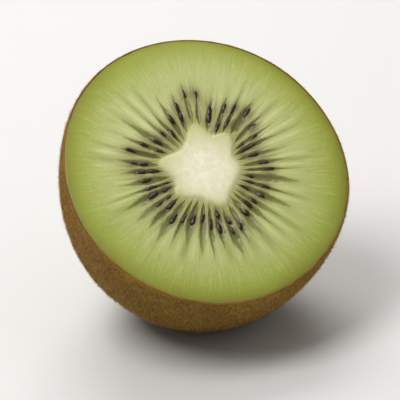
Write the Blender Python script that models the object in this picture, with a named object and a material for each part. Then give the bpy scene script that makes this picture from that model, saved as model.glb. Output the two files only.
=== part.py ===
"""A kiwi fruit cut in half across its middle, at its real size, in metres with +Z up.

The half lies on its rounded side, as it does on a board, with the cut face tilted up towards -Y.
The fruit is one solid: its skin, green flesh, pale core and seeds are grown together.
It is first shaped upright, with the cut face at z = 0 and the stem end below, then tilted and set down.
"""

import math

import bmesh
import bpy
import numpy as np
from mathutils import Matrix, Vector

# The fruit's body
FACE_RADIUS = 0.0261  # of the cut face, on average
FACE_OVAL = 0.021  # the long radius is this share over the average, the short one this share under it
OVAL_TURN = math.radians(105)  # where the long radius points, from +X on the face
FACE_WAVES = ((3, 0.004, 0.7), (5, 0.0025, 2.1))  # waves round the face, share of the radius, phase
HALF_LENGTH = 0.0350  # from the cut face to the stem end
FULLNESS = 2.12  # exponent of the side profile: 2 is an ellipse, and more is blunter
SKIN_EDGE = ((0.0006, 0.0), (0.00012, -0.00012), (0.0, -0.0006))  # inset from the rim, height
SKIN_ROWS = 19  # rings between the rim and the stem end
COARSE_RADIUS = 0.013  # nearer the stem than this, the rings have fewer points

# The stem end: a dent with a low ring of dried tissue and a stub in its middle
DENT_RADIUS = 0.0075
DENT_DEPTH = 0.0011
SCAR = (
    (0.0043, 0.0000),
    (0.0038, 0.0006),
    (0.0031, 0.0005),
    (0.0026, -0.0002),
    (0.0013, -0.0002),
    (0.0010, 0.0005),
)  # radius, and how far it stands out

# The cut face: a pale core with blunt points, and round it the seed chambers, cut across
CORE_RADIUS = 0.0056
CORE_RISE = 0.00030
CORE_POINT_SPREAD = math.radians(17)
CORE_POINTS = ((42, 0.0029), (83, 0.0035), (155, 0.0026), (209, 0.0015), (276, 0.0021), (348, 0.0007))
CHAMBERS = 40
CHAMBER_JITTER = 0.22  # of a chamber's width
CHAMBER_DEPTH = 0.00040
CHAMBER_START = 0.0015  # beyond the core's edge
CHAMBER_END = 0.0173  # from the middle of the face
CHAMBER_END_SPREAD = 0.0012
FACE_END = 0.0205  # the flesh is even from here to the skin

# The seeds, in up to three rows in each chamber
SEED_SIZE = (0.0022, 0.00115, 0.00095)  # length, width, thickness
SEED_SINK = 0.00022  # of a seed's middle, below the face
SEED_REACH = (0.0022, 1.5)  # the outermost seed's middle: this much, and this share of the core's radius
SEED_REACH_SPREAD = 0.0016
SEED_STEP = 0.0025  # from one row to the next
SEED_CLEARANCE = 0.0016  # of a seed's middle from the core's edge
SEED_CHANCES = (0.96, 0.78, 0.60)  # that the first, second and third row has a seed
SEED_POINT = 0.42  # how much slimmer a seed is at its inner end
RANDOM_SEED = 11

# How it lies
TILT = math.radians(39.2)  # of the cut face from level
FLAT_DEPTH = 0.00055  # of the soft side pressed flat where it rests
FLAT_SNAP = 0.00012  # points this near the flat spot's plane are drawn onto it

SKIN, FLESH, CORE, SEEDS = range(4)
COLOURS = {
    "kiwi_skin": ((0.235, 0.140, 0.045, 1), 0.75),
    "kiwi_flesh": ((0.330, 0.400, 0.085, 1), 0.35),
    "kiwi_core": ((0.760, 0.740, 0.500, 1), 0.50),
    "kiwi_seed": ((0.012, 0.010, 0.007, 1), 0.25),
}


def clear_scene():
    for obj in list(bpy.data.objects):
        bpy.data.objects.remove(obj)


def materials():
    """One Principled material for each tissue, in the order of SKIN, FLESH, CORE and SEEDS."""
    made = []
    for name, (colour, roughness) in COLOURS.items():
        material = bpy.data.materials.new(name)
        material.use_nodes = True
        shader = material.node_tree.nodes["Principled BSDF"]
        shader.inputs["Base Color"].default_value = colour
        shader.inputs["Roughness"].default_value = roughness
        shader.inputs["Metallic"].default_value = 0.0
        material.diffuse_color = colour
        made.append(material)
    return made


def rim_radius(angle):
    """The cut face's outline: a circle drawn out into a slight oval, with two shallow waves round it."""
    share = 1 + FACE_OVAL * np.cos(2 * (angle - OVAL_TURN))
    for count, size, phase in FACE_WAVES:
        share = share + size * np.cos(count * angle + phase)
    return FACE_RADIUS * share


def core_radius(angle):
    """The core's outline: a circle with a bell-shaped bulge at each blunt point."""
    radius = CORE_RADIUS + 0 * angle
    for degrees, size in CORE_POINTS:
        turn = (angle - math.radians(degrees) + math.pi) % (2 * math.pi) - math.pi
        radius = radius + size * np.exp(-((turn / CORE_POINT_SPREAD) ** 2))
    return radius


def skin_profile(share):
    """Radius and height at a share of the way from rim to stem end: a superellipse, as shares of full size."""
    turn = share * math.pi / 2
    return math.cos(turn) ** (2 / FULLNESS), -math.sin(turn) ** (2 / FULLNESS)


def dent(radius):
    """How far the stem end is drawn in at a distance from the axis: a bell curve."""
    return DENT_DEPTH * math.exp(-((radius / DENT_RADIUS) ** 2))


def ring(bm, angles, radii, heights):
    """A closed ring of vertices round the axis."""
    radii, heights = radii + 0 * angles, heights + 0 * angles
    return [
        bm.verts.new((r * math.cos(a), r * math.sin(a), z))
        for a, r, z in zip(angles, radii, heights)
    ]


def band(bm, outer, inner, material):
    """Faces between two rings, where the inner one has as many points as the outer one, or half or twice."""
    count = min(len(outer), len(inner))
    for i in range(count):
        j = (i + 1) % count
        if len(outer) == len(inner):
            corners = [(outer[i], outer[j], inner[j], inner[i])]
        else:
            few, many = (outer, inner) if len(outer) < len(inner) else (inner, outer)
            start, middle, end = many[2 * i], many[2 * i + 1], many[2 * j]
            corners = [(few[i], start, middle), (few[i], middle, few[j]), (few[j], middle, end)]
        for face in corners:
            bm.faces.new(face).material_index = material


def fan(bm, edge, height, material):
    """Closes a ring with a middle point."""
    middle = bm.verts.new((0, 0, height))
    for i, vertex in enumerate(edge):
        bm.faces.new((vertex, edge[(i + 1) % len(edge)], middle)).material_index = material


def chamber_layout(rng):
    """Angles of the walls between the seed chambers, unevenly spaced, and each chamber's outer end."""
    walls = (np.arange(CHAMBERS) + rng.uniform(-1, 1, CHAMBERS) * CHAMBER_JITTER) * 2 * math.pi / CHAMBERS
    ends = CHAMBER_END + rng.uniform(-1, 1, CHAMBERS) * CHAMBER_END_SPREAD
    return walls, ends


def chamber_points(walls, ends):
    """Four angles to each chamber, from wall to wall, with the hollow's share and the outer end at each."""
    widths = np.diff(np.append(walls, walls[0] + 2 * math.pi))
    quarters = np.arange(4) / 4
    angles = (walls[:, None] + widths[:, None] * quarters).ravel()
    hollow = np.tile(np.sin(math.pi * quarters) ** 2, CHAMBERS)
    return angles, hollow, np.repeat(ends, 4)


def add_face(bm, angles, hollow, ends):
    """The cut face from its middle out: the core, the fluted chambers, the even flesh. Gives its outer ring."""
    core = core_radius(angles)
    start = core + CHAMBER_START
    depth = -CHAMBER_DEPTH * hollow
    rows = (
        (core * 0.50, CORE_RISE, CORE),
        (core - 0.0003, CORE_RISE, CORE),
        (core + 0.0003, 0.0, CORE),
        (start, 0.3 * depth, FLESH),
        (start + (ends - start) * 0.30, depth, FLESH),
        (start + (ends - start) * 0.70, depth, FLESH),
        (ends, 0.35 * depth, FLESH),
    )
    inner = None
    for radii, heights, material in rows:
        outer = ring(bm, angles, radii, heights)
        if inner is None:
            fan(bm, outer, CORE_RISE, material)
        else:
            band(bm, outer, inner, material)
        inner = outer
    even = ring(bm, angles[::2], FACE_END, 0.0)
    band(bm, even, inner, FLESH)
    return even


def add_skin(bm, angles, inner):
    """The skin from the rim down to the stem end, with its scar."""
    rim = rim_radius(angles)
    for inset, height in SKIN_EDGE:
        outer = ring(bm, angles, rim - inset, height)
        band(bm, outer, inner, SKIN if height < 0 else FLESH)
        inner = outer
    deepest = HALF_LENGTH + SKIN_EDGE[-1][1]
    for row in range(1, SKIN_ROWS):
        width, drop = skin_profile(row / SKIN_ROWS)
        radius = FACE_RADIUS * width
        if radius < SCAR[0][0]:
            break
        around = angles if radius > COARSE_RADIUS else angles[::2]
        outer = ring(bm, around, rim_radius(around) * width, SKIN_EDGE[-1][1] + drop * deepest + dent(radius))
        band(bm, outer, inner, SKIN)
        inner = outer
    foot = -HALF_LENGTH + dent(0)
    for radius, out in SCAR:
        outer = ring(bm, angles[::4], radius, foot - out)
        band(bm, outer, inner, SKIN)
        inner = outer
    fan(bm, inner, foot - SCAR[-1][1], SKIN)


def press_flat(bm):
    """Cuts the low side off along the table, which leaves the small flat spot that it rests on."""
    up = Vector((0, math.sin(TILT), math.cos(TILT)))
    lowest = min(up.dot(v.co) for v in bm.verts)
    everything = bm.verts[:] + bm.edges[:] + bm.faces[:]
    cut = bmesh.ops.bisect_plane(
        bm,
        geom=everything,
        dist=FLAT_SNAP,
        plane_co=up * (lowest + FLAT_DEPTH),
        plane_no=up,
        use_snap_center=True,
        clear_inner=True,
    )
    edges = [e for e in cut["geom_cut"] if isinstance(e, bmesh.types.BMEdge)]
    for face in bmesh.ops.edgeloop_fill(bm, edges=edges)["faces"]:
        face.material_index = SKIN


def fruit_body(layout, tissues):
    """The half fruit without its seeds, upright, as one closed mesh."""
    bm = bmesh.new()
    angles, hollow, ends = chamber_points(*layout)
    face_edge = add_face(bm, angles, hollow, ends)
    add_skin(bm, angles[::2], face_edge)
    press_flat(bm)
    bmesh.ops.recalc_face_normals(bm, faces=bm.faces)
    mesh = bpy.data.meshes.new("kiwi_half")
    bm.to_mesh(mesh)
    bm.free()
    for tissue in tissues:
        mesh.materials.append(tissue)
    body = bpy.data.objects.new("kiwi_half", mesh)
    bpy.context.scene.collection.objects.link(body)
    return body


def seed_mesh(tissues):
    """A seed of unit size along +X: a ball drawn to a blunt point at its inner end."""
    bm = bmesh.new()
    bmesh.ops.create_uvsphere(bm, u_segments=6, v_segments=5, radius=0.5)
    bmesh.ops.rotate(bm, verts=bm.verts, matrix=Matrix.Rotation(math.pi / 2, 3, "Y"))
    for v in bm.verts:
        slim = 1 - SEED_POINT * (0.5 - v.co.x)
        v.co.y *= slim
        v.co.z *= slim
    for face in bm.faces:
        face.material_index = SEEDS
    mesh = bpy.data.meshes.new("seed")
    bm.to_mesh(mesh)
    bm.free()
    for tissue in tissues:
        mesh.materials.append(tissue)
    return mesh


def seed_places(rng, walls, ends):
    """Where each seed lies: its distance from the middle, its angle, its turn and its size as a share."""
    widths = np.diff(np.append(walls, walls[0] + 2 * math.pi))
    draws = rng.random((CHAMBERS, len(SEED_CHANCES), 5))
    places = []
    for wall, width, end, rows in zip(walls, widths, ends, draws):
        core = float(core_radius(wall + width / 2))
        reach = min(SEED_REACH[0] + SEED_REACH[1] * core, end - SEED_SIZE[0] / 2)
        for row, (present, inward, aside, turn, size) in enumerate(rows):
            radius = reach - inward * SEED_REACH_SPREAD - row * SEED_STEP
            if present > SEED_CHANCES[row] or radius < core + SEED_CLEARANCE:
                continue
            angle = wall + width * (0.5 + 0.24 * (aside - 0.5))
            places.append((radius, angle, 0.4 * (turn - 0.5), 0.86 + 0.26 * size))
    return places


def scatter_seeds(places, mesh):
    """A collection that holds every seed, each its own object with its long side pointing outwards."""
    collection = bpy.data.collections.new("seeds")
    bpy.context.scene.collection.children.link(collection)
    for number, (radius, angle, turn, size) in enumerate(places):
        seed = bpy.data.objects.new(f"seed_{number:02d}", mesh)
        seed.location = (radius * math.cos(angle), radius * math.sin(angle), -SEED_SINK)
        seed.rotation_euler = (0, 0, angle + turn)
        seed.scale = [side * size for side in SEED_SIZE]
        collection.objects.link(seed)
    return collection


def fuse(body, collection):
    """Joins the seeds to the flesh with one union, and removes the loose ones."""
    union = body.modifiers.new("seeds", "BOOLEAN")
    union.operation = "UNION"
    union.operand_type = "COLLECTION"
    union.collection = collection
    union.solver = "EXACT"
    bpy.context.view_layer.objects.active = body
    bpy.ops.object.modifier_apply(modifier=union.name)
    for seed in list(collection.objects):
        bpy.data.objects.remove(seed)
    bpy.data.collections.remove(collection)


def set_down(body):
    """Tilts the fruit and moves it so that it rests on z = 0, with the origin under the middle of its box."""
    turned = Matrix.Rotation(TILT, 3, "X")
    points = np.array([turned @ v.co for v in body.data.vertices])
    low, high = points.min(0), points.max(0)
    body.rotation_euler = (TILT, 0, 0)
    body.location = (-(low[0] + high[0]) / 2, -(low[1] + high[1]) / 2, -low[2])


def main():
    clear_scene()
    rng = np.random.default_rng(RANDOM_SEED)
    tissues = materials()
    walls, ends = chamber_layout(rng)
    body = fruit_body((walls, ends), tissues)
    seeds = scatter_seeds(seed_places(rng, walls, ends), seed_mesh(tissues))
    fuse(body, seeds)
    body.data.shade_smooth()
    body.data.set_sharp_from_angle(angle=math.radians(35))
    set_down(body)


main()
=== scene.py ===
"""The looks of a kiwi fruit half that lies on its skin, with its cut face tilted up towards -Y.

Every piece is worked out upright, with the cut at z = 0 and the stem end below, and then laid down by
set_down(). Lengths are in metres and angles in radians.
"""

import math

import bpy
import numpy as np
from mathutils import Matrix, Vector


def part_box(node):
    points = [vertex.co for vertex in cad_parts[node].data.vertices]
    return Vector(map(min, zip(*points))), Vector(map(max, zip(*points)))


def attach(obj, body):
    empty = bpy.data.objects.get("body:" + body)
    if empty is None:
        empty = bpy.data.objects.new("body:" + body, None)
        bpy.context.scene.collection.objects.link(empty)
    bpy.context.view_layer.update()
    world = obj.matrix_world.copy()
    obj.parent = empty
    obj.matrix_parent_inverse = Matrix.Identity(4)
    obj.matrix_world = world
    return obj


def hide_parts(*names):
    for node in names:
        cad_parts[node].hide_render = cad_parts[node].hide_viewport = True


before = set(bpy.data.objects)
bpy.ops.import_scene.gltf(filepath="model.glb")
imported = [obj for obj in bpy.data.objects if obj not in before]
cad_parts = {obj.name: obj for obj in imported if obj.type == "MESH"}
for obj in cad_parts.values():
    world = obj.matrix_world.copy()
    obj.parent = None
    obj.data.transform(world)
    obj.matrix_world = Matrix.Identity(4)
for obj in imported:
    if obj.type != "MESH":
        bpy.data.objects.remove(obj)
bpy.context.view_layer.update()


# The flesh is the whole inside of the fruit, cut straight across with a knife: a pale core in the middle,
# forty soft seed chambers round it, which open as shallow hollows between firmer walls, and even green
# flesh out to the skin. It is one closed, moist body, grown together with the skin.

TILT = math.radians(39.2)  # of the cut face from level
FACE_RADIUS = 0.0261
FACE_OVAL = 0.021
OVAL_TURN = math.radians(105)
FACE_WAVES = ((3, 0.004, 0.7), (5, 0.0025, 2.1))  # waves round the rim, share of the radius, phase
HALF_LENGTH = 0.0350
FULLNESS = 2.12  # exponent of the side profile, where 2 is an ellipse
DENT_RADIUS = 0.0075
DENT_DEPTH = 0.0011
PRESS_ROUNDING = 0.00016  # of the edge of the spot that is pressed flat

CORE_RADIUS = 0.0056
CORE_RISE = 0.00030
CORE_POINT_SPREAD = math.radians(17)
CORE_POINTS = ((42, 0.0029), (83, 0.0035), (155, 0.0026), (209, 0.0015), (276, 0.0021), (348, 0.0007))

CHAMBERS = 40
CHAMBER_JITTER = 0.22
CHAMBER_DEPTH = 0.00040
CHAMBER_END = 0.0173
CHAMBER_END_SPREAD = 0.0012
CHAMBER_FILL = (0.72, 0.96)  # share of the width between two walls
CHAMBER_SHOULDER = (0.14, 0.34)  # share of the length where it starts to narrow
CHAMBER_OPENING = (-0.02, 0.24)  # shares of the length between which it opens
CHAMBER_SWAY = (0.02, 0.10)  # share of the width
CHAMBER_SWAY_WAVES = 3.4  # radians of sway over the length
CHAMBER_SINK = (0.7, 1.25)  # times the depth
CHAMBER_DARKNESS = (0.62, 1.0)  # of the gel that it shows
SWOLLEN_SIDE = math.radians(240)  # where the chambers keep their width further out
SWOLLEN_SHOULDER = 0.34  # added to the shoulder there

SEED_ROWS = 3
SEED_SIZE = (0.0022, 0.00115, 0.00095)
SEED_REACH = (0.0022, 1.5)  # the outermost seed's distance: a length, plus this many times the core's radius
SEED_REACH_SPREAD = 0.0016
SEED_STEP = 0.0025
SEED_CLEARANCE = 0.0016
SEED_CHANCES = (0.96, 0.78, 0.60)  # one for each row, from the outermost
SEED_SHIFT_ASIDE = 0.24  # share of the chamber's width
SEED_TURN = 0.4
SEED_SCALE = (0.86, 0.26)  # the smallest, and the spread above it
SEED_BED_RISE = 0.00024
SEED_BED_SIZE = (0.62, 0.72)  # its half length and half width, in lengths and widths of a seed

SKIN_THICKNESS = 0.00036
FLESH_LAP = 0.00005  # that the flesh reaches into the skin
GRAIN_HEIGHT = 0.000012
SWELL_HEIGHT = 0.00005
EDGE_SAG = 0.00010
EDGE_SAG_WIDTH = 0.0022
RAGGEDNESS = 0.16  # of a chamber's edge, as a share of its half-width
FRINGE = 0.00028  # of the core's edge

EVEN_START = 0.0190  # where the rows of the mesh get wider
CHAMBER_STEPS = 16  # columns of the mesh in each chamber
CORE_ROWS = 18
CHAMBER_ROWS = 76
EVEN_ROWS = 26
HIDDEN_ROWS = 14
LIP = ((0.00006, -0.00006), (0.00009, -0.00025), (0.00009, -0.0006))  # steps outwards and up from the face


def smooth_step(low, high, value):
    """0 below low, 1 above high, and between them 3 t^2 - 2 t^3 of the share t of the way."""
    t = np.clip((value - low) / (high - low), 0, 1)
    return t * t * (3 - 2 * t)


def rim_radius(angle):
    """The rim: a circle, plus a cosine of twice the angle, which makes it oval, plus two shallow waves."""
    share = 1 + FACE_OVAL * np.cos(2 * (angle - OVAL_TURN))
    for count, size, phase in FACE_WAVES:
        share = share + size * np.cos(count * angle + phase)
    return FACE_RADIUS * share


def core_radius(angle):
    """The core's edge: a circle, plus a bell curve of the angle at each blunt point."""
    radius = CORE_RADIUS + 0 * angle
    for degrees, size in CORE_POINTS:
        turn = (angle - math.radians(degrees) + math.pi) % (2 * math.pi) - math.pi
        radius = radius + size * np.exp(-((turn / CORE_POINT_SPREAD) ** 2))
    return radius


def value_noise(turn, along, columns, rows, draws):
    """Random heights from -1 to 1 on a lattice, joined by smooth steps, which closes after one turn."""
    lattice = draws.uniform(-1, 1, (rows + 2, columns))
    x, y = (turn % 1) * columns, np.clip(along, 0, 1) * rows
    i, j = np.floor(x).astype(int), np.floor(y).astype(int)
    fx, fy = smooth_step(0, 1, x - i), smooth_step(0, 1, y - j)
    near = lattice[j, i % columns] * (1 - fx) + lattice[j, (i + 1) % columns] * fx
    far = lattice[j + 1, i % columns] * (1 - fx) + lattice[j + 1, (i + 1) % columns] * fx
    return near * (1 - fy) + far * fy


def round_axis(angle, radius, height):
    """Points at an angle round the fruit's axis, a radius away from it, at a height."""
    return np.stack([radius * np.cos(angle), radius * np.sin(angle), height], axis=-1)


def fruit_side(angle, share, inset):
    """Points a share of the way from rim to stem end: a superellipse turned round the axis, drawn in by a
    bell curve at the stem end. The inset shrinks its radius and its length alike."""
    turn = share * math.pi / 2
    width = np.maximum(np.cos(turn), 0) ** (2 / FULLNESS)
    depth = np.sin(turn) ** (2 / FULLNESS)
    radius = (rim_radius(angle) - inset) * width
    dent = DENT_DEPTH * np.exp(-((radius / DENT_RADIUS) ** 2))
    return round_axis(angle, radius, -(HALF_LENGTH - inset) * depth + dent)


def stem_end(inset):
    """The one point where fruit_side() ends."""
    return fruit_side(np.zeros(1), np.ones(1), inset)


def laid_over(points):
    """Turned about X by the tilt."""
    y = points[..., 1] * math.cos(TILT) - points[..., 2] * math.sin(TILT)
    z = points[..., 1] * math.sin(TILT) + points[..., 2] * math.cos(TILT)
    return np.stack([points[..., 0], y, z], axis=-1)


# The laid fruit's box is brought onto the solid's: sideways by its middle, upwards by the top of the rim.
all_round = np.linspace(0, 2 * math.pi, 721)
all_down = np.linspace(0, 1, 181)[:, None]
outside = laid_over(fruit_side(all_round, all_down, 0.0)).reshape(-1, 3)
low, high = (np.array(corner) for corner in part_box("kiwi_half"))
REST_SHIFT = (low + high) / 2 - (outside.min(0) + outside.max(0)) / 2
REST_SHIFT[2] = high[2] - outside[:, 2].max()


def set_down(points, clearance=0.0):
    """Laid over, moved to where the solid is, and pressed flat where it rests: a height z over the table
    becomes half of z plus the root of z^2 plus a small square, which is never below zero."""
    moved = laid_over(points) + REST_SHIFT
    z = moved[..., 2] - clearance
    moved[..., 2] = clearance + 0.5 * (z + np.sqrt(z * z + PRESS_ROUNDING**2))
    return moved


draws = np.random.default_rng(11)
walls = np.arange(CHAMBERS) + draws.uniform(-1, 1, CHAMBERS) * CHAMBER_JITTER
walls = walls * 2 * math.pi / CHAMBERS
chamber_ends = CHAMBER_END + draws.uniform(-1, 1, CHAMBERS) * CHAMBER_END_SPREAD
seed_draws = draws.random((CHAMBERS, SEED_ROWS, 5))
chamber_widths = np.diff(np.append(walls, walls[0] + 2 * math.pi))
core_mid = core_radius(walls + chamber_widths / 2)


def seed_places():
    """Each seed's distance from the middle, angle, turn and size: up to three rows in a chamber, inwards
    from the outermost, with seeded chances and shifts."""
    places = []
    for wall, width, end, rows in zip(walls, chamber_widths, chamber_ends, seed_draws):
        core = float(core_radius(wall + width / 2))
        reach = min(SEED_REACH[0] + SEED_REACH[1] * core, end - SEED_SIZE[0] / 2)
        for row, (present, inward, aside, turn, size) in enumerate(rows):
            radius = reach - inward * SEED_REACH_SPREAD - row * SEED_STEP
            if present > SEED_CHANCES[row] or radius < core + SEED_CLEARANCE:
                continue
            angle = wall + width * (0.5 + SEED_SHIFT_ASIDE * (aside - 0.5))
            places.append((radius, angle, SEED_TURN * (turn - 0.5), SEED_SCALE[0] + SEED_SCALE[1] * size))
    return np.array(places)


def swollen_share(angle):
    """1 on the swollen side of the fruit and 0 on the opposite side, by the cosine of the angle between."""
    return 0.5 + 0.5 * np.cos(angle - SWOLLEN_SIDE)


chamber_draws = np.random.default_rng(23)
chamber_fill = chamber_draws.uniform(*CHAMBER_FILL, CHAMBERS)
chamber_shoulder = chamber_draws.uniform(*CHAMBER_SHOULDER, CHAMBERS)
chamber_shoulder = chamber_shoulder + SWOLLEN_SHOULDER * swollen_share(walls) ** 1.5
chamber_sway = chamber_draws.uniform(*CHAMBER_SWAY, CHAMBERS)
chamber_phase = chamber_draws.uniform(0, 2 * math.pi, CHAMBERS)
chamber_sink = chamber_draws.uniform(*CHAMBER_SINK, CHAMBERS)
chamber_dark = chamber_draws.uniform(*CHAMBER_DARKNESS, CHAMBERS)


def chamber_shape(angle, radius, chamber, across, ragged):
    """Where a point lies in its chamber: its distance from the middle line as a share of the half-width
    there, and its share of the way to the outer tip. A chamber is a flame: it opens just outside the core,
    is widest by the seeds, and narrows to a needle. Its middle line sways and its edges are ragged."""
    along = (radius - core_radius(angle)) / (chamber_ends - core_mid)[chamber]
    sway = chamber_sway[chamber] * np.sin(CHAMBER_SWAY_WAVES * along + chamber_phase[chamber])
    aside = np.abs(2 * (across + sway) - 1)
    opening = smooth_step(*CHAMBER_OPENING, along) * (1 - smooth_step(chamber_shoulder[chamber], 1.0, along))
    half_width = np.maximum(chamber_fill[chamber] * opening, 1e-4)
    return aside / half_width + ragged, along


# The face's mesh is a grid of columns, sixteen to each chamber, and rows from the core out to the skin.
across = np.tile(np.arange(CHAMBER_STEPS) / CHAMBER_STEPS, CHAMBERS)
chamber = np.repeat(np.arange(CHAMBERS), CHAMBER_STEPS)
angles = walls[chamber] + chamber_widths[chamber] * across
columns = len(angles)

face_edge = rim_radius(angles) - SKIN_THICKNESS
core_edge = core_radius(angles)
core_shares = np.linspace(0, 1, CORE_ROWS + 1)[1:, None]
chamber_shares = np.linspace(0, 1, CHAMBER_ROWS + 1)[1:, None]
even_shares = np.linspace(0, 1, EVEN_ROWS + 1)[1:, None]
radii = np.concatenate(
    [
        core_edge * core_shares,
        core_edge + (EVEN_START - core_edge) * chamber_shares,
        EVEN_START + (face_edge - EVEN_START) * even_shares,
    ]
)
face_rows = len(radii)
past_core = radii - core_edge

# Its height: a raised core, sunken chambers, a raised bed round each seed, fine grain and a sagging edge.
relief_draws = np.random.default_rng(31)
turns = angles / (2 * math.pi) + 0 * radii
grain = value_noise(turns, radii / FACE_RADIUS, 460, 12, relief_draws)
pits = value_noise(turns, radii / FACE_RADIUS, 230, 60, relief_draws)
swell = value_noise(turns, radii / FACE_RADIUS, 9, 4, relief_draws)
ragged = RAGGEDNESS * value_noise(turns, radii / FACE_RADIUS, 200, 44, relief_draws)
fringe = FRINGE * value_noise(turns, 0 * turns, 150, 1, relief_draws)
off_middle, along = chamber_shape(angles, radii, chamber, across, ragged)
trough = smooth_step(0.0, 0.20, along) * (1 - smooth_step(0.45, 0.95, along))
hollow = chamber_sink[chamber] * trough * (1 - smooth_step(0.0, 1.0, off_middle))
height = CORE_RISE * (1 - smooth_step(-0.0006, 0.0006, past_core)) - CHAMBER_DEPTH * hollow
height = height + SWELL_HEIGHT * swell
height = height + GRAIN_HEIGHT * (grain + pits) * smooth_step(0.001, 0.003, radii)
height = height - EDGE_SAG * smooth_step(EDGE_SAG_WIDTH, 0.0, face_edge - radii) ** 2

face_x, face_y = radii * np.cos(angles), radii * np.sin(angles)
seeds = seed_places()
seed_shade = np.zeros_like(radii)
for radius, angle, turn, _ in seeds:
    dx, dy = face_x - radius * math.cos(angle), face_y - radius * math.sin(angle)
    out = dx * math.cos(angle + turn) + dy * math.sin(angle + turn)
    side = dy * math.cos(angle + turn) - dx * math.sin(angle + turn)
    spread = (out / (SEED_BED_SIZE[0] * SEED_SIZE[0])) ** 2 + (side / (SEED_BED_SIZE[1] * SEED_SIZE[1])) ** 2
    seed_shade = np.maximum(seed_shade, np.exp(-spread))
height = height + SEED_BED_RISE * seed_shade * trough

lip = [round_axis(angles, face_edge + outwards, height[-1] + rise) for outwards, rise in LIP]
hidden_shares = np.linspace(0.03, 0.985, HIDDEN_ROWS)[:, None]
hidden = fruit_side(angles, hidden_shares, SKIN_THICKNESS - FLESH_LAP)
rows = np.concatenate([round_axis(angles, radii, height), np.array(lip), hidden])
middle = np.array([[0, 0, float(height[0].mean())]])
flesh_points = np.concatenate([rows.reshape(-1, 3), middle, stem_end(SKIN_THICKNESS - FLESH_LAP)])


def fan(middle, ring):
    """Triangles from a middle point to a closed ring of points, all turning the same way."""
    return np.stack([np.full(len(ring), middle), ring, np.roll(ring, -1)], axis=-1)


def shell_faces(rows, columns, way):
    """A closed form: quads between neighbouring rows of points, each row a closed ring, and fans to the
    first row and the last from the two points that follow the rows. The way, 1 or -1, turns all outwards."""
    row, column = np.meshgrid(np.arange(rows - 1), np.arange(columns), indexing="ij")
    after = (column + 1) % columns
    quads = [row * columns + column, row * columns + after, (row + 1) * columns + after]
    quads.append((row + 1) * columns + column)
    first = np.arange(columns)
    last = (rows - 1) * columns + first
    return [
        np.stack(quads, axis=-1).reshape(-1, 4)[:, ::way],
        fan(rows * columns, first[::-way]),
        fan(rows * columns + 1, last[::way]),
    ]


def new_piece(name, points, faces, material):
    """A smooth mesh object from arrays of points and faces, which rides on the fruit."""
    mesh = bpy.data.meshes.new(name)
    mesh.from_pydata(points, [], [face for kind in faces for face in kind.tolist()])
    mesh.shade_smooth()
    mesh.materials.append(material)
    piece = bpy.data.objects.new(name, mesh)
    bpy.context.scene.collection.objects.link(piece)
    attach(piece, "root")
    return piece


def colour(code):
    """The linear colour of a six-digit hex code: each channel to the power 2.4, after a small offset."""
    channels = np.array([int(code[i : i + 2], 16) for i in (0, 2, 4)]) / 255
    linear = np.where(channels > 0.04045, ((channels + 0.055) / 1.055) ** 2.4, channels / 12.92)
    return (*linear.tolist(), 1.0)


def new_material(name, **settings):
    """A Principled material with the given numbers on the shader's own sockets."""
    material = bpy.data.materials.new(name)
    material.use_nodes = True
    shader = material.node_tree.nodes["Principled BSDF"]
    for socket, value in settings.items():
        shader.inputs[socket.replace("_", " ")].default_value = value
    return material, material.node_tree, shader


def object_place(tree):
    """Coordinates in the fruit's own frame, in metres."""
    return tree.nodes.new("ShaderNodeTexCoord").outputs["Object"]


def stored(tree, name, output="Fac"):
    """A number stored on the points, or with the output Vector a vector."""
    node = tree.nodes.new("ShaderNodeAttribute")
    node.attribute_name = name
    return node.outputs[output]


def feed(tree, socket, value):
    """Links an output to a socket, or writes a plain value there."""
    if isinstance(value, bpy.types.NodeSocket):
        tree.links.new(value, socket)
    else:
        socket.default_value = value


def sums(tree, way, *values):
    """One step of arithmetic on numbers."""
    node = tree.nodes.new("ShaderNodeMath")
    node.operation = way
    for socket, value in zip(node.inputs, values):
        feed(tree, socket, value)
    return node.outputs["Value"]


def level_ramp(tree, share, low, high):
    """0 below low and 1 above high, with a smooth step between."""
    node = tree.nodes.new("ShaderNodeMapRange")
    node.interpolation_type = "SMOOTHSTEP"
    feed(tree, node.inputs["Value"], share)
    node.inputs["From Min"].default_value = low
    node.inputs["From Max"].default_value = high
    return node.outputs["Result"]


def ramp(tree, share, *stops):
    """A colour ramp through (place, hex code) stops."""
    node = tree.nodes.new("ShaderNodeValToRGB")
    feed(tree, node.inputs["Fac"], share)
    elements = node.color_ramp.elements
    while len(elements) < len(stops):
        elements.new(0.5)
    for element, (place, code) in zip(elements, stops):
        element.position = place
        element.color = colour(code)
    return node.outputs["Color"]


def blend_colours(tree, share, low, high, way="MIX"):
    """The colour between low and high at a share of the way."""
    node = tree.nodes.new("ShaderNodeMix")
    node.data_type = "RGBA"
    node.blend_type = way
    feed(tree, node.inputs["Factor"], share)
    feed(tree, node.inputs["A"], low)
    feed(tree, node.inputs["B"], high)
    return node.outputs["Result"]


def washed(tree, under, share, strength, code):
    """A colour under a wash of another, as strong as a share times a strength."""
    return blend_colours(tree, sums(tree, "MULTIPLY", share, strength), under, colour(code))


def noise(tree, place, size, detail=3.0, stretch=(1, 1, 1), roughness=0.5):
    """Cloud noise whose features are about size across, stretched along the axes."""
    mapping = tree.nodes.new("ShaderNodeMapping")
    mapping.inputs["Scale"].default_value = stretch
    tree.links.new(place, mapping.inputs["Vector"])
    node = tree.nodes.new("ShaderNodeTexNoise")
    node.inputs["Scale"].default_value = 1 / size
    node.inputs["Detail"].default_value = detail
    node.inputs["Roughness"].default_value = roughness
    tree.links.new(mapping.outputs["Vector"], node.inputs["Vector"])
    return node.outputs["Fac"]


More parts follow.
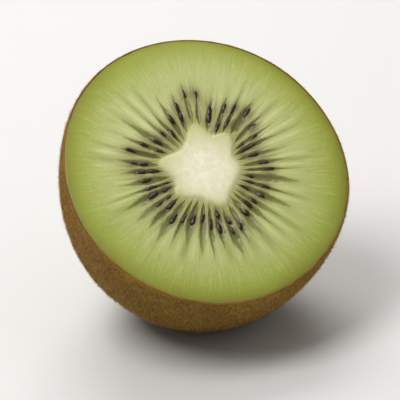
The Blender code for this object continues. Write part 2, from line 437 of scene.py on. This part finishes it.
def bumps(tree, shader, *layers):
    """Fine relief on the shader from (height, depth in metres) pairs, one Bump node after another."""
    before = None
    for height, depth in layers:
        node = tree.nodes.new("ShaderNodeBump")
        node.inputs["Strength"].default_value = 1.0
        node.inputs["Distance"].default_value = depth
        tree.links.new(height, node.inputs["Height"])
        if before is not None:
            tree.links.new(before, node.inputs["Normal"])
        before = node.outputs["Normal"]
    tree.links.new(before, shader.inputs["Normal"])


FLESH_GREENS = (  # place on the way from the middle to the rim, and colour there
    (0.00, "bfc083"),
    (0.50, "bfc184"),
    (0.62, "bbbf7e"),
    (0.70, "babe7b"),
    (0.78, "b2b86b"),
    (0.85, "a6ae56"),
    (0.91, "9aa240"),
    (0.955, "8f9430"),
    (1.00, "84822a"),
)
# Painted light on the upper side of the face, which pushes its greens outwards, and painted shade on the
# lower side.
PAINTED_LIGHT_SHIFT = -0.055  # of the greens, where the face is palest
PAINTED_SHADE_TINT = (0.89, 0.90, 0.78, 1)

flesh_look, tree, shader = new_material(
    "kiwi_flesh",
    Roughness=0.40,
    IOR=1.36,
    Subsurface_Weight=0.40,
    Subsurface_Scale=0.0020,
    Subsurface_Radius=(1.0, 0.9, 0.35),
    Coat_Weight=0.18,
    Coat_Roughness=0.26,
)
place = object_place(tree)
rays = stored(tree, "rays", "Vector")
reach = stored(tree, "reach")
core_share = stored(tree, "core_share")
chamber_share = stored(tree, "chamber_share")
ring_share = stored(tree, "ring_share")
spokes = stored(tree, "spokes")

# Painted light and shade: the upper side of the face is paler, its rim green starting further out, and the
# lower side is darker.
shifted = sums(tree, "MULTIPLY_ADD", stored(tree, "pale_side"), PAINTED_LIGHT_SHIFT, reach)
even = ramp(tree, shifted, *FLESH_GREENS)

# Long pale fibres run outwards through the flesh, each finer than the last, with darker green between.
broad = noise(tree, rays, 0.075, 3.0, (1, 1, 0.30), 0.55)
fibres = noise(tree, rays, 0.022, 4.0, (1, 1, 0.16), 0.6)
threads = noise(tree, rays, 0.009, 2.0, (1, 1, 0.05), 0.5)
cloud = noise(tree, place, 0.011, 2.0)
cells = noise(tree, place, 0.00045, 2.0)
inner = level_ramp(tree, reach, 1.0, 0.80)
pale_share = sums(tree, "MULTIPLY", inner, 0.36)
cloud_share = sums(tree, "MULTIPLY", level_ramp(tree, reach, 1.0, 0.97), 0.22)
cell_share = sums(tree, "MULTIPLY", inner, 0.16)
flesh = washed(tree, even, level_ramp(tree, broad, 0.50, 0.76), 0.36, "8c9a40")
flesh = washed(tree, flesh, level_ramp(tree, fibres, 0.50, 0.74), pale_share, "d0d49c")
flesh = washed(tree, flesh, level_ramp(tree, threads, 0.54, 0.74), pale_share, "d0d49c")
flesh = washed(tree, flesh, level_ramp(tree, threads, 0.46, 0.32), 0.22, "8e9b49")
flesh = washed(tree, flesh, level_ramp(tree, cloud, 0.48, 0.70), cloud_share, "9fb04d")
flesh = washed(tree, flesh, level_ramp(tree, cells, 0.52, 0.75), cell_share, "dfe2b8")
flesh = washed(tree, flesh, level_ramp(tree, spokes, 0.40, 0.02), 0.55, "d4d7a0")
# Painted shade: the lower side of the face is darkened.
flesh = blend_colours(tree, stored(tree, "deep_side"), flesh, PAINTED_SHADE_TINT, "MULTIPLY")
flesh = washed(tree, flesh, level_ramp(tree, spokes, 0.5, 1.0), 0.50, "76843a")

# The walls between the chambers are duller than the flesh, and the clear gel in the chambers is dark.
wall_tint = blend_colours(tree, ring_share, flesh, colour("a8a567"))
wall_tint = washed(tree, wall_tint, stored(tree, "band_share"), 0.75, "9d9858")
wall_tint = washed(tree, wall_tint, stored(tree, "needle_share"), 0.62, "5d6832")
gel = blend_colours(tree, ring_share, colour("6f7c36"), colour("6a6937"))
gel = washed(tree, gel, level_ramp(tree, fibres, 0.48, 0.72), 0.35, "8f9150")
chambered = blend_colours(tree, chamber_share, wall_tint, gel)
shaded = washed(tree, chambered, stored(tree, "seed_shade"), 0.52, "25240f")

# The core is cream, mottled by its cells, with faint rays that start a little way off the middle.
core_rays = noise(tree, rays, 0.07, 4.0, (1, 1, 0.4), 0.6)
core_cells = noise(tree, place, 0.0011, 4.0, roughness=0.6)
off_centre = level_ramp(tree, reach, 0.03, 0.15)
rays_seen = sums(tree, "MULTIPLY", off_centre, level_ramp(tree, core_rays, 0.35, 0.70))
core_tint = blend_colours(tree, level_ramp(tree, core_cells, 0.35, 0.68), colour("e4dfbf"), colour("f0ebd5"))
core_tint = washed(tree, core_tint, rays_seen, 0.40, "dad6a9")
core_tint = blend_colours(tree, level_ramp(tree, reach, 0.10, 0.30), core_tint, colour("d3cfa3"))
tree.links.new(blend_colours(tree, core_share, shaded, core_tint), shader.inputs["Base Color"])

# The juice stands in the chambers, so they shine more than the flesh between.
wet = noise(tree, place, 0.0011, 3.0)
ridges = sums(tree, "MULTIPLY", threads, level_ramp(tree, reach, 0.04, 0.25))
bumps(tree, shader, (cells, 0.00003), (wet, 0.00005), (ridges, 0.00003))
dry = sums(tree, "MULTIPLY_ADD", wet, 0.22, 0.30)
tree.links.new(sums(tree, "MULTIPLY_ADD", chamber_share, -0.18, dry), shader.inputs["Roughness"])

flesh_faces = shell_faces(len(rows), columns, -1)
kiwi_flesh = new_piece("flesh", set_down(flesh_points, SKIN_THICKNESS), flesh_faces, flesh_look)
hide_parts("kiwi_half")

# The material reads how far each point lies inside its chamber, in the dull ring of the seeds, in the band
# next to the core, in the core's cream, and on the side of the face with painted light and the side with
# painted shade.
# Where the painted light on the face is strongest and how far it spreads, and where the painted shade is
# deepest.
PAINTED_LIGHT_SIDE = math.radians(75)
PAINTED_LIGHT_SPREAD = math.radians(36)
PAINTED_SHADE_SIDE = math.radians(275)
CREAM_SHARES = (0.70, 0.30)  # of the core's own edge and of a circle, in the edge of the cream
CREAM_CIRCLE = 0.0068
CREAM_INSET = 0.0002
SPOKE_STRENGTH = (0.35, 1.0)
SPOKE_END = (0.0155, 0.0215)
NEEDLES = 92
NEEDLE_LENGTH = (0.0030, 0.0062)
NEEDLE_WIDTH = (0.00014, 0.00026)
NEEDLE_STRENGTH = (0.35, 1.0)
NEEDLE_END = 0.0200

swollen_there = swollen_share(angles)
seed_reach = np.minimum(SEED_REACH[0] + SEED_REACH[1] * core_edge, chamber_ends[chamber] - SEED_SIZE[0] / 2)
inside = 1 - smooth_step(0.60, 1.04, off_middle)
ring = smooth_step(-0.0006, 0.0024, past_core - 0.0010 * swollen_there)
ring = ring * (1 - smooth_step(-0.0012, 0.0026 + 0.0030 * swollen_there, radii - seed_reach))
band = smooth_step(-0.0010, 0.0012, past_core) * (1 - smooth_step(0.0014, 0.0036, past_core))
cream_edge = CREAM_SHARES[0] * core_edge + CREAM_SHARES[1] * CREAM_CIRCLE - CREAM_INSET + fringe
gel_strength = chamber_dark[chamber] * (1 - (0.45 - 0.25 * swollen_there) * smooth_step(0.45, 1.0, along))
pale_side = np.exp(-((angles - PAINTED_LIGHT_SIDE) ** 2) / PAINTED_LIGHT_SPREAD**2)
deep_side = smooth_step(-0.7, 0.8, np.cos(angles - PAINTED_SHADE_SIDE))

# Past the chambers' tips the flesh stays a little darker in line with them, and paler in line with the walls.
spoke_draws = chamber_draws.uniform(*zip(SPOKE_STRENGTH, SPOKE_END), (CHAMBERS, 2))
spoke_strength, spoke_end = spoke_draws.T[:, chamber]
off_wall = np.clip(across + 0.10 * value_noise(turns, 0 * radii, 90, 1, relief_draws), 0, 1)
spoke_waves = -np.cos(2 * math.pi * off_wall) * smooth_step(0.25, 0.55, along)
spoke_waves = spoke_waves * spoke_strength * (1 - smooth_step(-0.004, 0.003, radii - spoke_end))
spoke_waves = np.clip(spoke_waves * (0.85 + 0.45 * swollen_there), -1, 1)


def needle_lines(angle, radius):
    """Thin dark lines that run on from the chambers into the flesh. Each is a bell curve of the way aside
    from its own ray, which narrows and fades from its start among the seeds to its own end."""
    draws = np.random.default_rng(83)
    lines = np.zeros_like(radius)
    for ray in (np.arange(NEEDLES) + draws.uniform(-0.45, 0.45, NEEDLES)) * 2 * math.pi / NEEDLES:
        start = SEED_REACH[0] + SEED_REACH[1] * float(core_radius(ray)) - 0.0014
        length = draws.uniform(*NEEDLE_LENGTH) + 0.0014 * float(swollen_share(ray))
        end = min(start + length, NEEDLE_END)
        width, strength = draws.uniform(*NEEDLE_WIDTH), draws.uniform(*NEEDLE_STRENGTH)
        t = (radius - start) / (end - start)
        narrow = width * np.clip(1.15 - t, 0.15, 1.0)
        aside = np.where(np.cos(angle - ray) > 0, radius * np.sin(angle - ray), 1.0)
        fade = smooth_step(-0.10, 0.20, t) * (1 - smooth_step(0.45, 1.0, t))
        lines = np.maximum(lines, strength * fade * np.exp(-((aside / narrow) ** 2)))
    return lines


def for_every_point(face_values, elsewhere):
    """The face's values, row by row or the same in each, then one value for the lip, the hidden side and
    its end. The middle point, which stands before the end, gets the first row's mean."""
    on_face = face_values + 0 * radii
    rest = np.full((len(rows) - face_rows) * columns, elsewhere)
    return np.concatenate([on_face.ravel(), rest, [on_face[0].mean(), elsewhere]])


def give_numbers(piece, **values):
    """Stores numbers or vectors on the points of a piece, for its material to read."""
    for name, numbers in values.items():
        kind = "FLOAT" if numbers.ndim == 1 else "FLOAT_VECTOR"
        field = "value" if numbers.ndim == 1 else "vector"
        layer = piece.data.attributes.new(name, kind, "POINT")
        layer.data.foreach_set(field, numbers.astype(np.float32).ravel())


ray_numbers = [
    for_every_point(np.cos(angles), 0.0),
    for_every_point(np.sin(angles), 0.0),
    for_every_point(radii / FACE_RADIUS, 1.0),
]
give_numbers(
    kiwi_flesh,
    rays=np.stack(ray_numbers, axis=-1),
    reach=for_every_point(radii / face_edge, 1.0),
    core_share=for_every_point(1 - smooth_step(-0.0013, 0.0012, radii - cream_edge), 0.0),
    band_share=for_every_point(band, 0.0),
    needle_share=for_every_point(needle_lines(angles, radii), 0.0),
    spokes=for_every_point(0.5 + 0.5 * spoke_waves, 0.5),
    pale_side=for_every_point(pale_side, 0.0),
    deep_side=for_every_point(deep_side, 0.5),
    chamber_share=for_every_point(inside * gel_strength, 0.0),
    ring_share=for_every_point(ring, 0.0),
    seed_shade=for_every_point(seed_shade, 0.0),
)

SEEN_DISC = (0.5, 0.49)  # middle and radius on the map, whose side is 1
HIDDEN_DISC = (0.07, 0.062)


def give_map(piece, angle, reach, edge_row):
    """A UV map of two discs, the seen side large and the hidden side small in a corner. A point lies at its
    own angle, and its reach times the disc's radius from the disc's middle. On the hidden side, which starts
    at the edge row, the reach is the share of the rows that are left."""
    rows, columns = reach.shape
    row = np.repeat(np.arange(rows), columns)
    turned = np.append(np.tile(angle, rows), [0, 0])
    reach_seen = np.append(reach.ravel(), [0, 0])
    reach_hidden = np.append((rows - row) / (rows - edge_row), [0, 0])
    hidden_faces = np.concatenate([row[:-columns] >= edge_row, np.repeat([False, True], columns)])

    corners = np.empty(len(piece.data.loops), np.int32)
    piece.data.loops.foreach_get("vertex_index", corners)
    counts = np.empty(len(piece.data.polygons), np.int32)
    piece.data.polygons.foreach_get("loop_total", counts)
    hidden = np.repeat(hidden_faces, counts)
    middle = np.where(hidden, HIDDEN_DISC[0], SEEN_DISC[0])
    out = np.where(hidden, HIDDEN_DISC[1] * reach_hidden[corners], SEEN_DISC[1] * reach_seen[corners])
    turned = turned[corners]
    places = np.stack([middle + out * np.cos(turned), middle + out * np.sin(turned)], axis=-1)
    layer = piece.data.uv_layers.new(name="OFBake")
    layer.data.foreach_set("uv", places.astype(np.float32).ravel())


give_map(kiwi_flesh, angles, np.linalg.norm(rows[..., :2], axis=-1) / face_edge.max(), face_rows - 1)


# The seeds lie in the chambers, cut free by the knife: hard little drops, blunt outwards and pointed to the
# core, with a wet, nearly black coat. About a third of each stands out of the flesh.

SEED_SINK = 0.00022
SEED_POINT = 0.42
SEED_KEEL = 0.06
SEED_PITCH = 0.22
SEED_AROUND = 16
SEED_ALONG = 11


def seed_form(angle, share):
    """A drop along +X: a ball of diameter 1 whose cross-section shrinks evenly towards its pointed end, at
    -X. A cosine of twice the angle draws it out to a low keel along each side."""
    x = -0.5 * np.cos(share * math.pi)
    wide = 0.5 * np.sin(share * math.pi) * (1 - SEED_POINT * (0.5 - x))
    keel = 1 + SEED_KEEL * np.cos(2 * angle)
    return np.stack([x + 0 * angle, wide * keel * np.cos(angle), wide * np.sin(angle)], axis=-1)


def seed_swarm(places):
    """All seeds at once: the drop scaled by each seed's size, tipped a little, turned outwards, and moved
    to its place."""
    around = np.arange(SEED_AROUND) / SEED_AROUND * 2 * math.pi
    rings = seed_form(around, np.linspace(0, 1, SEED_ALONG + 2)[1:-1, None]).reshape(-1, 3)
    ends = np.array([[-0.5, 0, 0], [0.5, 0, 0]])
    form = np.concatenate([rings, ends]) * np.array(SEED_SIZE)
    radius, angle, turn, size = places.T[..., None]
    pitch = np.random.default_rng(47).uniform(-SEED_PITCH, SEED_PITCH, (len(places), 1))
    scaled = form[None] * size[..., None]
    x = scaled[..., 0] * np.cos(pitch) + scaled[..., 2] * np.sin(pitch)
    y = scaled[..., 1]
    z = scaled[..., 2] * np.cos(pitch) - scaled[..., 0] * np.sin(pitch) - SEED_SINK
    heading = angle + turn
    x, y = x * np.cos(heading) - y * np.sin(heading), x * np.sin(heading) + y * np.cos(heading)
    points = np.stack([x + radius * np.cos(angle), y + radius * np.sin(angle), z], axis=-1)
    quads, pointed_fan, blunt_fan = shell_faces(SEED_ALONG, SEED_AROUND, -1)
    tips = np.concatenate([pointed_fan, blunt_fan])
    starts = (np.arange(len(places)) * len(form))[:, None, None]
    return points.reshape(-1, 3), (quads + starts).reshape(-1, 4), (tips + starts).reshape(-1, 3)


seed_look, tree, shader = new_material(
    "kiwi_seed",
    Roughness=0.38,
    IOR=1.42,
    Specular_Tint=colour("f0e0b0"),
    Coat_Weight=0.40,
    Coat_Roughness=0.12,
    Coat_Tint=colour("f5ecd0"),
)
place = object_place(tree)
coat = ramp(tree, noise(tree, place, 0.0007, 3.0), (0.30, "120e04"), (0.55, "1d1707"), (0.75, "37290f"))
tree.links.new(coat, shader.inputs["Base Color"])
bumps(tree, shader, (noise(tree, place, 0.00012, 2.0), 0.00002))

seed_points, seed_quads, seed_tips = seed_swarm(seeds)
new_piece("seeds", set_down(seed_points), [seed_quads, seed_tips], seed_look)


# The skin is a thin brown peel, a third of a millimetre thick, grown onto the flesh. The knife leaves its
# cut edge as a fine darker line round the face, and at the stem end it is drawn in to a shallow dent.

SKIN_COLUMNS = 400
SKIN_ROWS = 120
SKIN_INNER_ROWS = 14
SKIN_SPAN = (0.0035, 0.996)  # shares of the way from rim to stem end
SKIN_CROWDING = 1.12  # rows stand closer together at the rim, where 1 is even
CUT_EDGE = (  # inset and height of the steps over the cut edge
    (0.00001, -0.00022),
    (0.00005, -0.00010),
    (0.00013, -0.00002),
    (0.00026, 0.0),
    (0.00036, -0.00008),
)
CUT_EDGE_WAVES = 0.00003
LUMP_HEIGHT = 0.00016
DIMPLE_HEIGHT = 0.00004
LEATHER_HEIGHT = 0.000012


def skin_lumps(turn, share):
    """Low lumps and a leathery grain on the skin, in metres: three layers of value noise, fading at the rim
    and towards the stem, where the lattice narrows."""
    draws = np.random.default_rng(59)
    lumps = value_noise(turn, share, 9, 5, draws) * LUMP_HEIGHT
    dimples = value_noise(turn, share, 70, 34, draws) * DIMPLE_HEIGHT
    leather = value_noise(turn, share, 200, 110, draws) * LEATHER_HEIGHT
    return (lumps + dimples + leather) * smooth_step(0.0, 0.05, share) * smooth_step(1.0, 0.88, share)


skin_turns = np.arange(SKIN_COLUMNS) / SKIN_COLUMNS
skin_angles = skin_turns * 2 * math.pi
crowded = np.linspace(0, 1, SKIN_ROWS)[:, None] ** SKIN_CROWDING
outer_shares = SKIN_SPAN[0] + (SKIN_SPAN[1] - SKIN_SPAN[0]) * crowded
outer = fruit_side(skin_angles, outer_shares, -skin_lumps(skin_turns + 0 * outer_shares, outer_shares))
inner_shares = np.linspace(0.02, 0.985, SKIN_INNER_ROWS)[:, None]
inner = fruit_side(skin_angles, inner_shares, SKIN_THICKNESS)
rim = rim_radius(skin_angles)
edge_waves = CUT_EDGE_WAVES * value_noise(skin_turns, 0 * skin_turns, 60, 1, np.random.default_rng(61))
edge = [round_axis(skin_angles, rim - inset, rise + edge_waves) for inset, rise in CUT_EDGE]
skin_rows = np.concatenate([outer[::-1], np.array(edge), inner])
edge_row = SKIN_ROWS + len(edge) - 1  # the last row over the cut edge
skin_points = np.concatenate(
    [
        set_down(skin_rows[: edge_row + 1].reshape(-1, 3)),
        set_down(skin_rows[edge_row + 1 :].reshape(-1, 3), SKIN_THICKNESS),
        set_down(stem_end(0.0)),
        set_down(stem_end(SKIN_THICKNESS), SKIN_THICKNESS),
    ]
)

skin_look, tree, shader = new_material(
    "kiwi_skin",
    Roughness=0.80,
    Specular_IOR_Level=0.2,
    Sheen_Weight=0.05,
    Sheen_Roughness=0.45,
    Sheen_Tint=colour("c9a060"),
)
place = object_place(tree)
patches = noise(tree, place, 0.011, 3.0)
mottle = noise(tree, place, 0.0022, 4.0, roughness=0.6)
specks = noise(tree, place, 0.00055, 2.0)
base = ramp(tree, patches, (0.30, "745519"), (0.52, "8a6925"), (0.72, "9c7e37"))
mottled = washed(tree, base, level_ramp(tree, mottle, 0.42, 0.70), 0.45, "644616")
greened = washed(tree, mottled, level_ramp(tree, patches, 0.50, 0.70), 0.10, "7f7632")
pored = washed(tree, greened, level_ramp(tree, specks, 0.56, 0.72), 0.55, "40290f")
edge_look = blend_colours(tree, level_ramp(tree, mottle, 0.35, 0.65), colour("6f4c1a"), colour("8c6425"))
skin_tint = blend_colours(tree, stored(tree, "cut_share"), pored, edge_look)
tree.links.new(skin_tint, shader.inputs["Base Color"])
bumps(tree, shader, (mottle, 0.00012), (specks, 0.00008))

skin_faces = shell_faces(len(skin_rows), SKIN_COLUMNS, 1)
kiwi_skin = new_piece("skin", skin_points, skin_faces, skin_look)
cut_rows = np.zeros(len(skin_rows))
cut_rows[SKIN_ROWS + 1 : edge_row + 1] = 1
give_numbers(kiwi_skin, cut_share=np.append(np.repeat(cut_rows, SKIN_COLUMNS), [0, 0]))

# On the map the stem end is the middle, and a point's reach is its way from there along the skin.
steps = np.linalg.norm(np.diff(skin_rows, axis=0), axis=-1).mean(axis=1)
way = np.append([0], np.cumsum(steps)) + np.linalg.norm(skin_rows[0, :, :2], axis=-1).mean()
give_map(kiwi_skin, skin_angles, (way / way[edge_row])[:, None] + 0 * skin_angles, edge_row)


# The stem scar is where the stalk broke off: a low ring of corky dead tissue, torn and cracked across, and
# a dried stub in the middle of the hollow that it rings. It is grown into the skin, in the dent.

SCAR_COLUMNS = 160
SCAR_ROWS = 84
SCAR_PROFILE = (  # radius and height over the skin
    (0.0049, -0.00030),
    (0.0045, -0.00005),
    (0.0042, 0.00028),
    (0.0038, 0.00056),
    (0.0034, 0.00060),
    (0.0030, 0.00034),
    (0.0026, 0.00009),
    (0.0020, 0.00006),
    (0.0015, 0.00010),
    (0.0012, 0.00026),
    (0.0010, 0.00052),
    (0.0007, 0.00066),
    (0.0002, 0.00058),
)
SCAR_OUTLINE = 0.09
SCAR_UNEVENNESS = 0.45
CRACK_DEPTH = 0.00034
CRUMB_HEIGHT = 0.00006
STUB_RISE = 0.7  # of the middle point, on the scale of the colours


def scar_surface(turn, share):
    """A profile of radius and height, carried once round the axis on the dented superellipse of the skin.
    Noise that closes on itself makes its outline and its height uneven, narrow noise cracks it across, and
    fine noise roughens it. Returns the points and the height over the skin."""
    stops = np.linspace(0, 1, len(SCAR_PROFILE))
    radius = np.interp(share, stops, [r for r, _ in SCAR_PROFILE])
    height = np.interp(share, stops, [h for _, h in SCAR_PROFILE])
    draws = np.random.default_rng(67)
    outline = value_noise(turn, 0 * share, 9, 1, draws) + 0.5 * value_noise(turn, share, 23, 5, draws)
    uneven = value_noise(turn, 0 * share, 6, 1, draws)
    cracks = np.abs(value_noise(turn, 0.4 * share, 34, 5, draws)) ** 0.7
    crumbs = value_noise(turn, share, 70, 46, draws)
    standing = smooth_step(0.00010, 0.00045, height)
    outer = smooth_step(0.0012, 0.0026, radius)
    radius = radius * (1 + SCAR_OUTLINE * outline)
    height = height * (1 + SCAR_UNEVENNESS * uneven * outer)
    height = height - CRACK_DEPTH * standing * outer * (1 - smooth_step(0.0, 0.55, cracks))
    height = height + CRUMB_HEIGHT * crumbs * smooth_step(-0.0001, 0.0002, height)
    width = np.clip(radius / FACE_RADIUS, 0, 1)
    dent = DENT_DEPTH * np.exp(-((radius / DENT_RADIUS) ** 2))
    under = -HALF_LENGTH * (1 - width**FULLNESS) ** (1 / FULLNESS) + dent
    return round_axis(turn * 2 * math.pi, radius, under - height), height


scar_turns = np.arange(SCAR_COLUMNS) / SCAR_COLUMNS
scar_shares = np.linspace(0, 1, SCAR_ROWS)[:, None]
scar_rows, scar_heights = scar_surface(scar_turns + 0 * scar_shares, scar_shares + 0 * scar_turns)
scar_ends = np.array([[0, 0, scar_rows[0, :, 2].mean()], [0, 0, scar_rows[-1, :, 2].mean()]])
scar_points = np.concatenate([scar_rows.reshape(-1, 3), scar_ends])

scar_look, tree, shader = new_material("kiwi_scar", Roughness=0.9, Specular_IOR_Level=0.2)
fibre = noise(tree, object_place(tree), 0.0007, 4.0, roughness=0.65)
# Low places, the hollow and the cracks, take the darker colours: partly the dried tissue's own colour, partly
# painted shade.
crest = ramp(tree, fibre, (0.30, "4a300f"), (0.52, "76532a"), (0.70, "9c7c48"))
shaded_pit = ramp(tree, fibre, (0.30, "2a1a08"), (0.52, "452d10"), (0.70, "5f4320"))
tree.links.new(blend_colours(tree, stored(tree, "rise"), shaded_pit, crest), shader.inputs["Base Color"])
bumps(tree, shader, (fibre, 0.00015))

scar_faces = shell_faces(SCAR_ROWS, SCAR_COLUMNS, -1)
stem_scar = new_piece("stem_scar", set_down(scar_points), scar_faces, scar_look)
scar_rise = smooth_step(0.00008, 0.00060, scar_heights)
give_numbers(stem_scar, rise=np.append(scar_rise.ravel(), [0.0, STUB_RISE]))


# The fuzz is a coat of short stiff hairs that grow out of the skin and lean over it, thick at the root and
# pointed. Hairs are paler or darker from one to the next, so each of the five tones is a piece of its own.

HAIRS_PER_TONE = 18000
HAIR_LENGTH = (0.0005, 0.0014)
HAIR_WIDTH = (0.000018, 0.000034)
HAIR_LEAN = (0.80, 1.38)
HAIR_CURL = (0.05, 0.35)
HAIR_ROOT = 0.00004  # that a hair reaches into the skin
BARE_START = 0.905  # share of the way to the stem end, past which no hair grows
HAIR_TURN = 0.6  # spread of the way that it leans
HAIR_STRAY = 0.25  # spread of its upper half's way
SWIRL = 0.9
SWIRL_WAVES = (190, 160)  # radians a metre, along X and Y
TABLE_GAP = (0.00002, 0.00003)  # the least height over the table, and its spread
FUZZ_TONES = {
    "pale": "d4ae5c",
    "straw": "c09746",
    "tawny": "ab8036",
    "brown": "926729",
    "dark": "78521b",
}


def hair_roots(count, draws):
    """Places, normals and the way to the stem end, spread over the outer skin: quads drawn by their area,
    then a place inside."""
    grid = set_down(outer)
    a, b = grid[:-1], np.roll(grid, -1, axis=1)[:-1]
    c, d = np.roll(grid, -1, axis=1)[1:], grid[1:]
    normal = np.cross(c - a, b - d).reshape(-1, 3)
    area = np.linalg.norm(normal, axis=1)
    bare = np.repeat(outer_shares[:-1, 0] > BARE_START, SKIN_COLUMNS)
    weight = np.where(bare, 0, area)
    picked = draws.choice(len(weight), count, p=weight / weight.sum())
    u, v = draws.random((2, count, 1))
    a, b, c, d = (part.reshape(-1, 3)[picked] for part in (a, b, c, d))
    place = (1 - u) * ((1 - v) * a + v * b) + u * ((1 - v) * d + v * c)
    return place, normal[picked] / area[picked, None], d - a


def unit(vectors):
    """Each vector over its own length."""
    return vectors / np.maximum(np.linalg.norm(vectors, axis=-1, keepdims=True), 1e-12)


def hair_swarm(count, draws):
    """Three-sided hairs with one bend: root, middle and tip, each further over than the last. They lean
    towards the stem end, turned aside by a swirl, which is a sine along X times a cosine along Y."""
    place, normal, flow = hair_roots(count, draws)
    side = unit(np.cross(normal, unit(flow)))
    swirl = SWIRL * np.sin(SWIRL_WAVES[0] * place[:, :1] + 1.3) * np.cos(SWIRL_WAVES[1] * place[:, 1:2] - 0.4)
    turn = swirl + draws.normal(0, HAIR_TURN, (count, 1))
    over = np.cos(turn) * unit(np.cross(side, normal)) + np.sin(turn) * side
    lean = draws.uniform(*HAIR_LEAN, (count, 1))
    length = draws.uniform(*HAIR_LENGTH, (count, 1)) * draws.uniform(0.6, 1, (count, 1))
    width = draws.uniform(*HAIR_WIDTH, (count, 1))
    first_way = normal * np.cos(lean) + over * np.sin(lean)
    curled = lean + draws.uniform(*HAIR_CURL, (count, 1))
    strayed = HAIR_STRAY * draws.normal(0, 1, (count, 3))
    second_way = unit(normal * np.cos(curled) + over * np.sin(curled) + strayed)
    root = place - normal * HAIR_ROOT
    middle = root + first_way * length * 0.5
    tip = middle + second_way * length * 0.5
    flat = unit(np.cross(first_way, normal))
    lift = np.cross(flat, first_way)
    points = []
    for centre, share in ((root, 1.0), (middle, 0.75)):
        for angle in np.arange(3) * 2 * math.pi / 3:
            points.append(centre + width * share * (math.cos(angle) * flat + math.sin(angle) * lift))
    points.append(tip)
    points = np.stack(points, axis=1)
    # A hair under the fruit lies on the table, not in it.
    lowest = TABLE_GAP[0] + TABLE_GAP[1] * draws.random((count, 7))
    points[..., 2] = np.maximum(points[..., 2], lowest)
    starts = (np.arange(count) * 7)[:, None, None]
    quads = np.array([[0, 1, 4, 3], [1, 2, 5, 4], [2, 0, 3, 5]]) + starts
    tips = np.array([[3, 4, 6], [4, 5, 6], [5, 3, 6], [0, 2, 1]]) + starts
    return points.reshape(-1, 3), quads.reshape(-1, 4), tips.reshape(-1, 3)


for tone, (name, code) in enumerate(FUZZ_TONES.items()):
    hair_look, _, _ = new_material(
        "kiwi_fuzz_" + name, Base_Color=colour(code), Roughness=0.55, Specular_IOR_Level=0.2
    )
    hair_points, hair_quads, hair_tips = hair_swarm(HAIRS_PER_TONE, np.random.default_rng(71 + tone))
    new_piece("fuzz_" + name, hair_points, [hair_quads, hair_tips], hair_look)


# The floor is a plain pale sheet under the fruit, far wider than the view. It is no part of the fruit.

FLOOR_HALF = 2.0
floor_corners = [(x * FLOOR_HALF, y * FLOOR_HALF, 0) for x, y in ((-1, -1), (1, -1), (1, 1), (-1, 1))]
floor_look, _, _ = new_material(
    "floor", Base_Color=colour("d3d2cf"), Roughness=0.75, Specular_IOR_Level=0.2
)
floor_mesh = bpy.data.meshes.new("floor")
floor_mesh.from_pydata(floor_corners, [], [(0, 1, 2, 3)])
floor_mesh.materials.append(floor_look)
floor = bpy.data.objects.new("floor", floor_mesh)
bpy.context.scene.collection.objects.link(floor)


# The light is a soft studio one: a key lamp high on the left, a weaker fill on the right, a wide weak lamp
# straight above, a small one behind, and a pale surround.

LOOK_AT = Vector((0, 0, 0.0235))
LAMPS = (  # name, degrees round from the front, degrees up, distance, side, watts
    ("key", -75, 62, 0.60, 0.34, 2.75),
    ("fill", 40, 30, 1.0, 0.7, 0.8),
    ("top", 0, 89, 2.2, 3.0, 9.0),
    ("back", 165, 45, 0.6, 0.4, 2.5),
)
SURROUND_STRENGTH = 0.22


def way_to(around, above):
    """The direction at an angle round from the front, and at an angle above the floor."""
    level = math.cos(above)
    return Vector((math.sin(around) * level, -math.cos(around) * level, math.sin(above)))


for name, around, above, distance, side, power in LAMPS:
    lamp = bpy.data.lights.new(name, "AREA")
    lamp.size = side
    lamp.energy = power
    lamp_way = way_to(math.radians(around), math.radians(above))
    lamp_object = bpy.data.objects.new(name, lamp)
    lamp_object.location = LOOK_AT + lamp_way * distance
    lamp_object.rotation_euler = (-lamp_way).to_track_quat("-Z", "Y").to_euler()
    bpy.context.scene.collection.objects.link(lamp_object)

surround = bpy.data.worlds.new("surround")
surround.use_nodes = True
background = surround.node_tree.nodes["Background"]
background.inputs["Color"].default_value = colour("f6f6f5")
background.inputs["Strength"].default_value = SURROUND_STRENGTH
bpy.context.scene.world = surround
bpy.context.scene.view_settings.view_transform = "Standard"


# The camera looks from the photograph's side and height, and is rolled as it is there. It has a longer
# lens, so that the fruit fills the picture.

CAMERA_DISTANCE = 1.2
CAMERA_AZIMUTH = math.radians(-17.7)
CAMERA_ELEVATION = math.radians(26.8)
CAMERA_ROLL = math.radians(-5.5)
LENS = 600  # millimetres, as is the sensor's width
SENSOR_WIDTH = 36

camera_data = bpy.data.cameras.new("camera")
camera_data.lens = LENS
camera_data.sensor_width = SENSOR_WIDTH
camera_data.clip_end = 10
camera = bpy.data.objects.new("camera", camera_data)
camera_way = way_to(CAMERA_AZIMUTH, CAMERA_ELEVATION)
aimed = (-camera_way).to_track_quat("-Z", "Y").to_matrix() @ Matrix.Rotation(CAMERA_ROLL, 3, "Z")
camera.matrix_world = Matrix.Translation(LOOK_AT + camera_way * CAMERA_DISTANCE) @ aimed.to_4x4()
bpy.context.scene.collection.objects.link(camera)
bpy.context.scene.camera = camera
